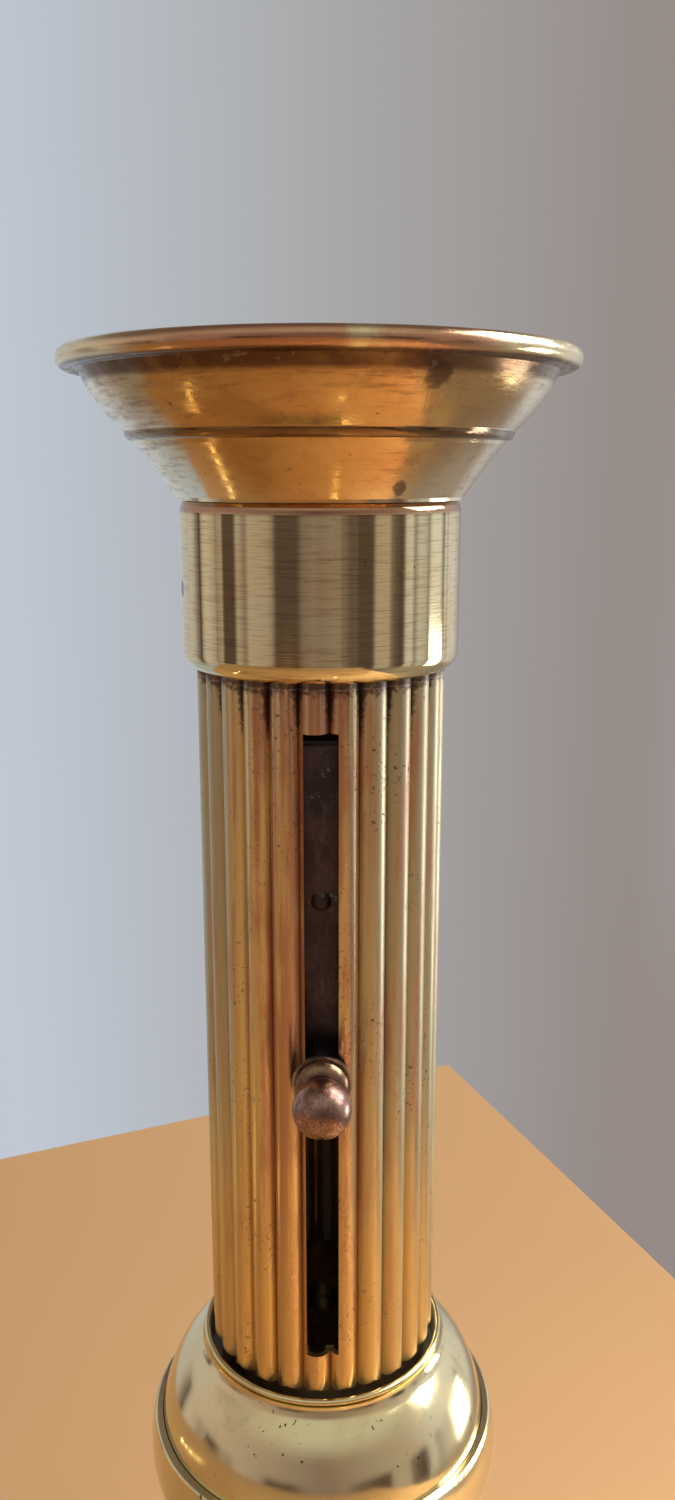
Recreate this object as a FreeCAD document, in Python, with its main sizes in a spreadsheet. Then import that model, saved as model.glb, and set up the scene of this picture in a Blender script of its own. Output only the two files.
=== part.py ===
"""Candle lantern: a reeded brass column on a weighted round foot.

A candle socket slides inside the column and is pushed up by a small ball knob that
runs in a long slot in the column's front.  A flared gallery, which holds the glass
or catches the wax, sits on the column's top as a sleeve and lifts off.

Frame: millimetres, +Z up, origin on the table under the middle of the foot.
The slot and the knob face -Y.  Every height in SIZES is a height above the table
unless its name ends in _rise, which is a height above the piece's own bottom, or in
_reach, which is a distance in front of the lantern's axis.
"""
import FreeCAD, Part
import math
import os
import re
import Sketcher

Vector = FreeCAD.Vector
UP = Vector(0, 0, 1)
FRONT = FreeCAD.Rotation(Vector(1, 0, 0), 90)     # turns a piece's own +Z to the front, -Y
UPRIGHT = FreeCAD.Rotation(Vector(1, 0, 0), 90)   # stands a drawing up in the XZ plane
SIDE_ON = FreeCAD.Rotation(Vector(1, 1, 1), 120)  # stands a drawing up in the YZ plane
FULL_TURN = 360
ZERO = 1e-9
PROBE_TOLERANCE = 1e-4
SHEET = "Sizes"

SIZES = {
    "Walls and gaps": {
        "foot_wall": 0.8,
        "sheet_wall": 0.6,
        "dome_wall": 0.5,
        "collar_wall": 0.5,
        "solder_gap": 0.05,
    },
    "Tie rod": {
        "rod_radius": 3.0,
        "rod_hole_radius": 3.4,
        "rod_bottom": 2.2,
        "rod_top": 84.5,
        "nut_bottom": 2.8,
        "nut_circumradius": 5.77,
        "nut_height": 3.2,
        "washer_bottom": 6.0,
        "washer_radius": 9.0,
        "washer_height": 1.4,
    },
    "Base plate": {
        "plate_radius": 43.4,
        "plate_height": 1.6,
        "plate_chamfer": 0.4,
    },
    "Foot": {
        "foot_bottom": 2.2,
        "foot_rim_radius": 44.35,
        "foot_skirt_radius": 44.2,
        "foot_skirt_rise": 1.4,
        "foot_skirt_bend": 20.0,
        "foot_step_radius": 29.9,
        "foot_step_rise": 15.8,
        "foot_bead_bend": 1.4,
        "foot_ledge_radius": 28.6,
        "foot_ledge_rise": 18.0,
        "foot_neck_start": 27.4,
        "foot_neck_bend": 24.0,
        "foot_neck_radius": 13.4,
        "foot_neck_rise": 39.8,
        "foot_top_rise": 40.4,
        "foot_roll_centre": 44.8,
        "foot_roll_height": 1.5,
        "foot_roll_radius": 1.2,
    },
    "Ballast": {
        "ballast_bottom": 7.4,
        "ballast_height": 8.0,
        "ballast_bottom_radius": 41.0,
        "ballast_top_radius": 33.9,
    },
    "Waist ring": {
        "waist_bottom": 42.6,
        "waist_height": 4.6,
        "waist_radius": 14.0,
        "waist_bend": 2.45,
    },
    "Bulb": {
        "bulb_bottom": 47.2,
        "bulb_floor_radius": 14.4,
        "bulb_bowl_bend": 17.0,
        "bulb_bowl_radius": 24.2,
        "bulb_bowl_rise": 13.3,
        "belt_bottom_radius": 25.0,
        "belt_bottom_rise": 13.6,
        "belt_bend": 16.0,
        "belt_top_radius": 25.2,
        "belt_top_rise": 22.5,
        "ledge_bend": 0.6,
        "ledge_radius": 24.75,
        "ledge_rise": 23.04,
        "ledge_inner_radius": 24.0,
    },
    "Dome": {
        "dome_bottom": 65.5,
        "dome_radius": 23.9,
        "dome_skirt_rise": 4.8,
        "dome_bend": 17.8,
        "dome_shoulder_radius": 18.4,
        "dome_shoulder_rise": 15.6,
        "dome_cove_bend": 3.0,
        "dome_mouth_radius": 17.55,
        "dome_cove_rise": 17.0,
        "dome_mouth_rise": 17.45,
    },
    "Column cup": {
        "cup_well_bottom": 77.9,
        "cup_well_floor_rise": 0.7,
        "cup_well_radius": 16.6,
        "cup_well_outer_radius": 17.0,
        "cup_lip_bend": 0.45,
        "cup_lip_start_rise": 5.11,
        "cup_lip_end_rise": 5.55,
    },
    "Column": {
        "column_bottom": 84.05,
        "column_height": 114.85,
        "column_radius": 16.1,
        "column_bore": 13.9,
        "column_ring_radius": 14.5,
        "reed_count": 25,
        "reed_radius": 1.87,
        "reed_turn": 3.2,
        "reed_tip_bend": 0.7,
        "flute_radius": 1.2,
        "slot_width": 4.3,
        "slot_bottom_rise": 5.75,
        "slot_height": 85.9,
    },
    "Column spigot": {
        "spigot_bottom": 78.6,
        "spigot_foot_radius": 15.0,
        "spigot_foot_height": 5.45,
        "spigot_radius": 13.8,
        "spigot_height": 8.3,
        "spigot_chamfer": 0.6,
        "spigot_bore": 3.05,
    },
    "Candle socket": {
        "socket_bottom": 126.0,
        "socket_height": 47.4,
        "socket_radius": 12.5,
        "socket_bore": 11.9,
        "socket_shoulder_bore": 11.4,
        "socket_shoulder_rise": 9.5,
        "floor_height": 1.0,
        "guide_radius": 13.65,
        "guide_notch_width": 7.2,
        "guide_top_bottom": 167.0,
        "guide_top_height": 3.0,
        "guide_low_bottom": 126.0,
        "guide_low_height": 2.4,
    },
    "Friction spring": {
        "spring_width": 6.4,
        "spring_wall": 0.4,
        "spring_low_end": 128.2,
        "spring_stud_flat": 134.0,
        "spring_low_bow": 144.0,
        "spring_rivet_flat": 151.6,
        "spring_rivet_flat_end": 156.0,
        "spring_high_bow": 164.5,
        "spring_high_flat": 173.25,
        "spring_crest": 173.7,
        "spring_seat_reach": 12.55,
        "spring_bow_reach": 12.95,
        "spring_lip_start_reach": 12.1,
        "spring_lip_reach": 11.95,
        "spring_lip_bend": 0.45,
        "rivet_height": 153.7,
        "rivet_head_radius": 1.3,
        "rivet_head_rise": 0.45,
        "rivet_shank_radius": 0.65,
        "rivet_tail_reach": 11.95,
        "rivet_seat_reach": 12.95,
    },
    "Stud, washer and knob": {
        "knob_height": 130.6,
        "stud_tail_reach": 9.4,
        "stud_head_radius": 2.8,
        "stud_head_rise": 1.6,
        "stud_radius": 1.5,
        "stud_hole_radius": 1.55,
        "stud_shoulder_radius": 2.0,
        "stud_shoulder_start": 3.6,
        "stud_shoulder_end": 6.95,
        "stud_length": 11.1,
        "knob_washer_reach": 16.35,
        "knob_washer_radius": 3.82,
        "knob_washer_edge": 0.5,
        "knob_washer_step_radius": 3.35,
        "knob_washer_step_rise": 1.1,
        "knob_washer_top_radius": 2.2,
        "knob_washer_top_rise": 2.2,
        "knob_washer_bend": 1.8,
        "knob_reach": 18.55,
        "knob_neck_radius": 2.0,
        "knob_neck_rise": 0.5,
        "knob_fillet": 0.7,
        "knob_join_radius": 2.5,
        "knob_radius": 3.65,
        "knob_end_rise": 7.9,
        "knob_hole_rise": 2.4,
    },
    "Gallery": {
        "collar_bottom": 181.9,
        "collar_mouth_radius": 16.5,
        "collar_curl_bend": 2.346,
        "collar_curl_rise": 2.1,
        "collar_radius": 17.8,
        "collar_shoulder_rise": 19.5,
        "collar_shoulder_bend": 1.825,
        "collar_top_radius": 17.35,
        "collar_height": 20.7,
        "ferrule_bottom": 199.0,
        "ferrule_bore": 14.2,
        "ferrule_flange_radius": 17.25,
        "ferrule_flange_rise": 1.2,
        "ferrule_tube_radius": 16.0,
        "ferrule_roll_rise": 4.4,
        "ferrule_roll_radius": 17.4,
        "ferrule_height": 5.4,
        "ferrule_roll_bend": 0.8,
        "cup_bottom": 202.74,
        "cup_hole_radius": 16.05,
        "cup_floor_radius": 18.12,
        "cup_flare_start_radius": 18.2,
        "cup_flare_start_rise": 0.4,
        "cup_flare_bend": 60.0,
        "cup_flare_radius": 22.88,
        "cup_flare_rise": 6.62,
        "cup_crease_radius": 23.1,
        "cup_crease_rise": 7.0,
        "cup_bead_bend": 1.1,
        "cup_bead_radius": 24.2,
        "cup_bead_rise": 8.05,
        "cup_bowl_start_radius": 24.3,
        "cup_bowl_start_rise": 8.25,
        "cup_bowl_bend": 20.8,
        "cup_bowl_radius": 29.36,
        "cup_bowl_rise": 15.18,
        "cup_flange_radius": 30.2,
        "cup_flange_rise": 15.6,
        "rim_centre": 30.72,
        "rim_height": 219.2,
        "rim_radius": 1.25,
    },
}

KNOWN_SIZES = {alias for group in SIZES.values() for alias in group}


def sized(expression):
    """Point each size named in an expression at its cell in the sheet."""
    def cell(match):
        word = match.group(0)
        return f"{SHEET}.{word}" if word in KNOWN_SIZES else word
    return re.sub(r"[a-z_]+", cell, expression)


def make_sheet(document):
    """Write every driving size into the spreadsheet, one aliased cell each."""
    sheet = document.addObject("Spreadsheet::Sheet", SHEET)
    row = 1
    for group, sizes in SIZES.items():
        sheet.set(f"A{row}", group)
        row += 1
        for alias, value in sizes.items():
            sheet.set(f"A{row}", alias)
            sheet.set(f"B{row}", str(value))
            sheet.setAlias(f"B{row}", alias)
            row += 1
    document.recompute()
    return sheet


class Lantern:
    """The document, its nodes, and the ways that its pieces are made."""

    def __init__(self):
        self.document = FreeCAD.newDocument("candle_lantern")
        self.sheet = make_sheet(self.document)
        self.nodes = []

    # ---- values, binding and bookkeeping

    def value(self, expression):
        """Return the number that an expression of sizes gives now."""
        result = self.sheet.evalExpression(sized(expression))
        return float(getattr(result, "Value", result))

    def bind(self, thing, prop, expression):
        """Bind a property of a document object to an expression of sizes."""
        thing.setExpression(prop, sized(expression))

    def place(self, node, bottom=None, reach=None):
        """Put a piece at its height, or at its reach in front of the axis."""
        if reach is not None:
            node.Placement = FreeCAD.Placement(Vector(0, 0, 0), FRONT)
            self.bind(node, "Placement.Base.y", f"-({reach})")
        if bottom is not None:
            self.bind(node, "Placement.Base.z", bottom)

    def keep(self, node, label):
        """Name a finished piece and list it for writing."""
        node.Label = label
        self.nodes.append(node)
        return node

    def part(self, kind, name, **sizes):
        """Add a Part primitive or operation, with properties bound to sizes."""
        thing = self.document.addObject(f"Part::{kind}", name)
        for prop, expression in sizes.items():
            self.bind(thing, prop, expression)
        return thing

    # ---- sketches

    def draw(self, sketch, start, steps, closed):
        """Draw lines and arcs from a start point, with each vertex bound to sizes.

        A step is ("line", x, y), or ("left" or "right", x, y, bend) for an arc that
        turns that way, or ("left_long", ...) for one of more than half a turn.
        Returns the vertices as points of the sketch.
        """
        vertices = [start] + [step[1:3] for step in steps]
        points = [Vector(self.value(x), self.value(y), 0) for x, y in vertices]
        ends = []
        for number, step in enumerate(steps):
            first, last = points[number], points[number + 1]
            if step[0] == "line":
                index = sketch.addGeometry(Part.LineSegment(first, last), False)
                ends.append((index, 1, 2))
                continue
            radius = self.value(step[3])
            leftward = step[0].startswith("left")
            curve = bend_between(first, last, radius, leftward, step[0].endswith("_long"))
            index = sketch.addGeometry(curve, False)
            ends.append((index, 1, 2) if leftward else (index, 2, 1))
            constraint = sketch.addConstraint(Sketcher.Constraint("Radius", index, radius))
            self.bind(sketch, f"Constraints[{constraint}]", step[3])
        self.join_ends(sketch, ends, closed)
        for number, (index, begin, _) in enumerate(ends):
            self.pin_vertex(sketch, index, begin, vertices[number], points[number])
        if not closed:
            index, _, finish = ends[-1]
            self.pin_vertex(sketch, index, finish, vertices[-1], points[-1])
        return points

    @staticmethod
    def join_ends(sketch, ends, closed):
        """Make each stretch start where the one before it stops."""
        followers = ends[1:] + ends[:1] if closed else ends[1:]
        for (index, _, finish), (following, begin, _) in zip(ends, followers):
            joint = Sketcher.Constraint("Coincident", index, finish, following, begin)
            sketch.addConstraint(joint)

    def pin_vertex(self, sketch, index, position, vertex, point):
        """Fix one vertex by its two distances from the origin, or on an axis."""
        plan = (("DistanceX", vertex[0], point.x, -2), ("DistanceY", vertex[1], point.y, -1))
        for kind, expression, distance, axis in plan:
            if abs(distance) < ZERO:
                sketch.addConstraint(Sketcher.Constraint("PointOnObject", index, position, axis))
                continue
            fixed = Sketcher.Constraint(kind, -1, 1, index, position, distance)
            constraint = sketch.addConstraint(fixed)
            self.bind(sketch, f"Constraints[{constraint}]", expression)

    def body_sketch(self, body, name, role):
        """Add a sketch to a body, on one of the body's own origin planes."""
        plane = next(feature for feature in body.Origin.OriginFeatures if feature.Role == role)
        sketch = body.newObject("Sketcher::SketchObject", name)
        sketch.AttachmentSupport = [(plane, "")]
        sketch.MapMode = "FlatFace"
        return sketch

    def circle(self, sketch, radius, centre=("0", "0")):
        """Draw one circle, with its radius and centre bound to sizes."""
        middle = Vector(self.value(centre[0]), self.value(centre[1]), 0)
        index = sketch.addGeometry(Part.Circle(middle, UP, self.value(radius)), False)
        size = sketch.addConstraint(Sketcher.Constraint("Radius", index, self.value(radius)))
        self.bind(sketch, f"Constraints[{size}]", radius)
        self.pin_vertex(sketch, index, 3, centre, middle)

    # ---- ways of making a piece

    def turned(self, label, start, steps):
        """A solid of revolution, made as a body from its closed half section."""
        body = self.document.addObject("PartDesign::Body", f"{label}_body")
        sketch = self.body_sketch(body, f"{label}_section", "XZ_Plane")
        self.draw(sketch, start, steps, closed=True)
        turn = body.newObject("PartDesign::Revolution", f"{label}_turn")
        turn.Profile = sketch
        turn.ReferenceAxis = (sketch, ["V_Axis"])
        turn.Angle = FULL_TURN
        body.Tip = turn
        return body

    def spun(self, label, wall, start, steps):
        """A shell spun from sheet: its outer line, thickened inward, turned about Z."""
        sketch = self.document.addObject("Sketcher::SketchObject", f"{label}_line")
        sketch.Placement = FreeCAD.Placement(Vector(0, 0, 0), UPRIGHT)
        points = self.draw(sketch, start, steps, closed=False)
        strip = self.thickened(label, sketch, points, wall)
        shell = self.document.addObject("Part::Revolution", f"{label}_revolved")
        shell.Source = strip
        shell.Axis = UP
        shell.Angle = FULL_TURN
        shell.Solid = True
        return shell

    def thickened(self, label, sketch, points, wall):
        """Thicken an open line to its left, into a closed face.

        A positive offset may go to either side of an open line, so the strip is
        tried and turned over if its sheet doesn't lie to the left of the last stretch.
        """
        strip = self.document.addObject("Part::Offset2D", f"{label}_strip")
        strip.Source = sketch
        strip.Mode = "Skin"
        strip.Fill = True
        self.bind(strip, "Value", wall)
        self.document.recompute()
        along = (points[-1] - points[-2]).normalize()
        leftward = Vector(-along.y, along.x, 0) * (self.value(wall) / 2)
        probe = sketch.Placement.multVec((points[-1] + points[-2]) / 2 + leftward)
        if not strip.Shape.Faces[0].isInside(probe, PROBE_TOLERANCE, True):
            self.bind(strip, "Value", f"-({wall})")
            self.document.recompute()
        if not strip.Shape.Faces[0].isInside(probe, PROBE_TOLERANCE, True):
            raise RuntimeError(f"{label} has no sheet on its left")
        return strip

    def joined(self, first, second, kind, name):
        """Fuse or cut two shapes."""
        result = self.document.addObject(f"Part::{kind}", name)
        result.Base = first
        result.Tool = second
        if hasattr(result, "Refine"):
            result.Refine = True
        return result

    def bead(self, name, centre, radius, rise):
        """A round bead of full section, at a height above its piece's bottom."""
        torus = self.part("Torus", name, Radius1=centre, Radius2=radius)
        self.bind(torus, "Placement.Base.z", rise)
        return torus

    def disc_with_hole(self, label, radius, hole, height):
        """A flat round disc with a round hole through its middle."""
        disc = self.part("Cylinder", f"{label}_disc", Radius=radius, Height=height)
        drill = self.part("Cylinder", f"{label}_drill", Radius=hole, Height=height)
        return self.joined(disc, drill, "Cut", f"{label}_ring")

    def cut_body(self, body, name, sketch, backward, length=None):
        """Pocket a body from a sketch, through everything or for a length."""
        before = body.Tip.Shape.Volume
        pocket = body.newObject("PartDesign::Pocket", name)
        pocket.Profile = sketch
        pocket.Reversed = backward
        if length is None:
            pocket.Type = "ThroughAll"
        else:
            pocket.Length = self.value(length)
            self.bind(pocket, "Length", length)
        return self.cut_made(body, pocket, before)

    def groove_body(self, body, name, sketch):
        """Cut a body all the way round its axis with a sketch."""
        before = body.Tip.Shape.Volume
        groove = body.newObject("PartDesign::Groove", name)
        groove.Profile = sketch
        groove.ReferenceAxis = (sketch, ["V_Axis"])
        groove.Angle = FULL_TURN
        return self.cut_made(body, groove, before)

    def cut_made(self, body, feature, before):
        """Make a pocket or groove the body's last feature, and see that it cuts something."""
        body.Tip = feature
        self.document.recompute()
        if feature.Shape.Volume > before - ZERO:
            raise RuntimeError(f"{feature.Name} cuts nothing")
        return feature

    def repeated(self, body, name, feature, axis_sketch, count):
        """Repeat a feature evenly round the axis."""
        pattern = body.newObject("PartDesign::PolarPattern", name)
        pattern.Originals = [feature]
        pattern.Axis = (axis_sketch, ["N_Axis"])
        pattern.Angle = FULL_TURN
        pattern.Occurrences = int(self.value(count))
        self.bind(pattern, "Occurrences", count)
        body.Tip = pattern
        self.document.recompute()
        return pattern


def bend_between(first, last, radius, leftward, is_long):
    """Return the arc of a given radius that joins two points, turning one way."""
    chord = last - first
    depth = math.sqrt(radius ** 2 - (chord.Length / 2) ** 2)
    side = 1 if leftward != is_long else -1
    normal = Vector(-chord.y, chord.x, 0).normalize()
    centre = (first + last) / 2 + normal * (depth * side)
    begin, finish = (first, last) if leftward else (last, first)
    angles = [math.atan2(end.y - centre.y, end.x - centre.x) for end in (begin, finish)]
    return Part.ArcOfCircle(Part.Circle(centre, UP, radius), *angles)


# ---- foot, bulb and dome


def make_base_plate(lantern):
    """Flat plate that closes the foot and rests on the table."""
    plate = lantern.turned("base_plate", ("0", "0"), [
        ("line", "plate_radius - plate_chamfer", "0"),
        ("line", "plate_radius", "plate_chamfer"),
        ("line", "plate_radius", "plate_height"),
        ("line", "0", "plate_height"),
        ("line", "0", "0"),
    ])
    lantern.keep(plate, "base_plate")


def make_foot_shell(lantern):
    """Round spun foot: rolled edge, convex skirt, beaded step and hollow neck."""
    shell = lantern.spun("foot", "foot_wall", ("foot_rim_radius", "0"), [
        ("line", "foot_skirt_radius", "foot_skirt_rise"),
        ("left", "foot_step_radius", "foot_step_rise", "foot_skirt_bend"),
        ("left", "foot_ledge_radius", "foot_ledge_rise", "foot_bead_bend"),
        ("line", "foot_neck_start", "foot_ledge_rise"),
        ("right", "foot_neck_radius", "foot_neck_rise", "foot_neck_bend"),
        ("line", "foot_neck_radius", "foot_top_rise"),
        ("line", "rod_hole_radius", "foot_top_rise"),
    ])
    roll = lantern.bead("foot_roll", "foot_roll_centre", "foot_roll_radius",
                        "foot_roll_height - foot_bottom")
    foot = lantern.joined(shell, roll, "Fuse", "foot_joined")
    lantern.place(foot, bottom="foot_bottom")
    lantern.keep(foot, "foot_shell")


def make_foot_ballast(lantern):
    """Cast weight that fills the foot and is drawn up against its skirt."""
    ballast = lantern.turned("foot_ballast", ("rod_hole_radius", "0"), [
        ("line", "ballast_bottom_radius", "0"),
        ("line", "ballast_top_radius", "ballast_height"),
        ("line", "rod_hole_radius", "ballast_height"),
        ("line", "rod_hole_radius", "0"),
    ])
    lantern.place(ballast, bottom="ballast_bottom")
    lantern.keep(ballast, "foot_ballast")


def make_waist_ring(lantern):
    """Turned half-round ring between the foot and the bulb."""
    ring = lantern.turned("waist_ring", ("rod_hole_radius", "0"), [
        ("line", "waist_radius", "0"),
        ("left", "waist_radius", "waist_height", "waist_bend"),
        ("line", "rod_hole_radius", "waist_height"),
        ("line", "rod_hole_radius", "0"),
    ])
    lantern.place(ring, bottom="waist_bottom")
    lantern.keep(ring, "waist_ring")


def make_bulb_shell(lantern):
    """Lower bulb: a bowl, a bulging belt, and a ledge turned in at the top."""
    shell = lantern.spun("bulb", "sheet_wall", ("rod_hole_radius", "0"), [
        ("line", "bulb_floor_radius", "0"),
        ("left", "bulb_bowl_radius", "bulb_bowl_rise", "bulb_bowl_bend"),
        ("line", "belt_bottom_radius", "belt_bottom_rise"),
        ("left", "belt_top_radius", "belt_top_rise", "belt_bend"),
        ("left", "ledge_radius", "ledge_rise", "ledge_bend"),
        ("line", "ledge_inner_radius", "ledge_rise"),
    ])
    lantern.place(shell, bottom="bulb_bottom")
    lantern.keep(shell, "bulb_shell")


def make_base_dome(lantern):
    """Dome round the column's foot, with a skirt that goes down inside the belt."""
    shell = lantern.spun("dome", "dome_wall", ("dome_radius", "0"), [
        ("line", "dome_radius", "dome_skirt_rise"),
        ("left", "dome_shoulder_radius", "dome_shoulder_rise", "dome_bend"),
        ("right", "dome_mouth_radius", "dome_cove_rise", "dome_cove_bend"),
        ("line", "dome_mouth_radius", "dome_mouth_rise"),
    ])
    lantern.place(shell, bottom="dome_bottom")
    lantern.keep(shell, "base_dome")


# ---- column


def make_column_cup(lantern):
    """Cup that the column stands in; its rolled lip hooks over the dome's mouth."""
    cup = lantern.turned("column_cup", ("rod_hole_radius", "0"), [
        ("line", "cup_well_outer_radius", "0"),
        ("line", "cup_well_outer_radius", "cup_lip_start_rise"),
        ("left_long", "cup_well_radius", "cup_lip_end_rise", "cup_lip_bend"),
        ("line", "cup_well_radius", "cup_well_floor_rise"),
        ("line", "rod_hole_radius", "cup_well_floor_rise"),
        ("line", "rod_hole_radius", "0"),
    ])
    lantern.place(cup, bottom="cup_well_bottom")
    lantern.keep(cup, "column_cup")


def make_column_tube(lantern):
    """Tube of corrugated sheet: half-round reeds outside, flutes inside, one slot."""
    body = lantern.document.addObject("PartDesign::Body", "column_tube_body")
    ring = lantern.body_sketch(body, "column_ring", "XY_Plane")
    lantern.circle(ring, "column_ring_radius")
    wall = body.newObject("PartDesign::Pad", "column_wall")
    wall.Profile = ring
    lantern.bind(wall, "Length", "column_height")
    body.Tip = wall

    # the reed nearest the slot stands a little to one side of it
    centre = ("-(column_radius - reed_radius) * sin(reed_turn)",
              "-(column_radius - reed_radius) * cos(reed_turn)")
    reed_sketch = lantern.body_sketch(body, "reed_section", "XY_Plane")
    lantern.circle(reed_sketch, "reed_radius", centre)
    reed = body.newObject("PartDesign::Pad", "reed")
    reed.Profile = reed_sketch
    lantern.bind(reed, "Length", "column_height")
    body.Tip = reed
    lantern.document.recompute()
    lantern.repeated(body, "reeds", reed, ring, "reed_count")

    bore_sketch = lantern.body_sketch(body, "column_bore_section", "XY_Plane")
    lantern.circle(bore_sketch, "column_bore")
    lantern.cut_body(body, "column_bore_cut", bore_sketch, True)

    flute_sketch = lantern.body_sketch(body, "flute_section", "XY_Plane")
    lantern.circle(flute_sketch, "flute_radius", centre)
    flute = lantern.cut_body(body, "flute", flute_sketch, True)
    lantern.repeated(body, "flutes", flute, ring, "reed_count")

    tip_sketch = lantern.body_sketch(body, "reed_tip_outline", "XZ_Plane")
    tip_start = "column_radius - reed_tip_bend"
    clear_of_tips = "column_radius + reed_tip_bend"
    lantern.draw(tip_sketch, (tip_start, "0"), [
        ("left", "column_radius", "reed_tip_bend", "reed_tip_bend"),
        ("line", clear_of_tips, "reed_tip_bend"),
        ("line", clear_of_tips, "0"),
        ("line", tip_start, "0"),
    ], closed=True)
    lantern.groove_body(body, "reed_tips", tip_sketch)

    slot_sketch = lantern.body_sketch(body, "slot_outline", "XZ_Plane")
    slot_top = "slot_bottom_rise + slot_height"
    lantern.draw(slot_sketch, ("-slot_width / 2", "slot_bottom_rise"), [
        ("line", "slot_width / 2", "slot_bottom_rise"),
        ("line", "slot_width / 2", slot_top),
        ("line", "-slot_width / 2", slot_top),
        ("line", "-slot_width / 2", "slot_bottom_rise"),
    ], closed=True)
    lantern.cut_body(body, "slot", slot_sketch, True, "column_radius + reed_radius")
    lantern.place(body, bottom="column_bottom")
    lantern.keep(body, "column_tube")


def make_column_spigot(lantern):
    """Stepped plug that the column stands on and is soldered to, tapped for the tie rod."""
    spigot = lantern.turned("column_spigot", ("spigot_bore", "0"), [
        ("line", "spigot_foot_radius", "0"),
        ("line", "spigot_foot_radius", "spigot_foot_height"),
        ("line", "spigot_radius", "spigot_foot_height"),
        ("line", "spigot_radius", "spigot_height - spigot_chamfer"),
        ("line", "spigot_radius - spigot_chamfer", "spigot_height"),
        ("line", "spigot_bore", "spigot_height"),
        ("line", "spigot_bore", "0"),
    ])
    lantern.place(spigot, bottom="spigot_bottom")
    lantern.keep(spigot, "column_spigot")


def make_tie_rod(lantern):
    """Threaded rod that draws column, dome, bulb and foot together."""
    rod = lantern.part("Cylinder", "tie_rod_bar", Radius="rod_radius",
                       Height="rod_top - rod_bottom")
    lantern.place(rod, bottom="rod_bottom")
    lantern.keep(rod, "tie_rod")


def make_tie_washer(lantern):
    """Washer under the ballast."""
    washer = lantern.disc_with_hole("tie_washer", "washer_radius", "rod_hole_radius",
                                    "washer_height")
    lantern.place(washer, bottom="washer_bottom")
    lantern.keep(washer, "tie_washer")


def make_tie_nut(lantern):
    """Hexagon nut on the tie rod's lower end."""
    hexagon = lantern.part("Prism", "tie_nut_hexagon", Circumradius="nut_circumradius",
                           Height="nut_height")
    drill = lantern.part("Cylinder", "tie_nut_drill", Radius="rod_radius + solder_gap",
                         Height="nut_height")
    nut = lantern.joined(hexagon, drill, "Cut", "tie_nut_bored")
    lantern.place(nut, bottom="nut_bottom")
    lantern.keep(nut, "tie_nut")


# ---- candle slider


def make_candle_socket(lantern):
    """Tube that the candle stands in, with holes for the rivet and the stud."""
    body = lantern.turned("candle_socket", ("socket_shoulder_bore", "0"), [
        ("line", "socket_radius", "0"),
        ("line", "socket_radius", "socket_height"),
        ("line", "socket_bore", "socket_height"),
        ("line", "socket_bore", "socket_shoulder_rise"),
        ("line", "socket_shoulder_bore", "socket_shoulder_rise"),
        ("line", "socket_shoulder_bore", "0"),
    ])
    lantern.document.recompute()
    holes = (("stud", "stud_hole_radius", "knob_height - socket_bottom"),
             ("rivet", "rivet_shank_radius + solder_gap", "rivet_height - socket_bottom"))
    for name, radius, rise in holes:
        sketch = lantern.body_sketch(body, f"{name}_hole_outline", "XZ_Plane")
        lantern.circle(sketch, radius, ("0", rise))
        lantern.cut_body(body, f"{name}_hole", sketch, True, "socket_radius + sheet_wall")
    lantern.place(body, bottom="socket_bottom")
    lantern.keep(body, "candle_socket")


def make_socket_floor(lantern):
    """Disc that the candle stands on, let into the socket's shoulder."""
    disc = lantern.part("Cylinder", "socket_floor_disc",
                        Radius="socket_shoulder_bore - solder_gap", Height="floor_height")
    lantern.place(disc, bottom="socket_bottom + socket_shoulder_rise - floor_height")
    lantern.keep(disc, "socket_floor")


def make_guide_ring(lantern, label, bottom, height):
    """Ring that centres the socket in the column, notched for the spring."""
    ring = lantern.disc_with_hole(label, "guide_radius", "socket_radius + solder_gap", height)
    notch = lantern.part("Box", f"{label}_notch", Length="guide_notch_width",
                         Width="guide_radius", Height=height)
    lantern.bind(notch, "Placement.Base.x", "-guide_notch_width / 2")
    lantern.bind(notch, "Placement.Base.y", "-guide_radius")
    notched = lantern.joined(ring, notch, "Cut", f"{label}_notched")
    lantern.place(notched, bottom=bottom)
    lantern.keep(notched, label)


def make_friction_spring(lantern):
    """Bowed strip that rubs on the column's bore; its top hooks over the socket."""
    line = lantern.document.addObject("Sketcher::SketchObject", "spring_line")
    line.Placement = FreeCAD.Placement(Vector(0, 0, 0), SIDE_ON)
    seat = "-spring_seat_reach"
    bow = "-spring_bow_reach"
    points = lantern.draw(line, (seat, "spring_low_end"), [
        ("line", seat, "spring_stud_flat"),
        ("line", bow, "spring_low_bow"),
        ("line", seat, "spring_rivet_flat"),
        ("line", seat, "spring_rivet_flat_end"),
        ("line", bow, "spring_high_bow"),
        ("line", seat, "spring_high_flat"),
        ("right", "-spring_lip_start_reach", "spring_crest", "spring_lip_bend"),
        ("line", "-spring_lip_reach", "spring_crest"),
    ], closed=False)
    strip = lantern.thickened("spring", line, points, "spring_wall")
    leaf = lantern.document.addObject("Part::Extrusion", "spring_leaf")
    leaf.Base = strip
    leaf.DirMode = "Custom"
    leaf.Dir = Vector(1, 0, 0)
    leaf.Symmetric = True
    leaf.Solid = True
    lantern.bind(leaf, "LengthFwd", "spring_width")
    for name, radius, height in (("stud", "stud_hole_radius", "knob_height"),
                                 ("rivet", "rivet_shank_radius + solder_gap", "rivet_height")):
        drill = lantern.part("Cylinder", f"spring_{name}_drill", Radius=radius,
                             Height="column_radius")
        drill.Placement = FreeCAD.Placement(Vector(0, 0, 0), FRONT)
        lantern.bind(drill, "Placement.Base.z", height)
        leaf = lantern.joined(leaf, drill, "Cut", f"spring_{name}_bored")
    lantern.keep(leaf, "friction_spring")


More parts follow.
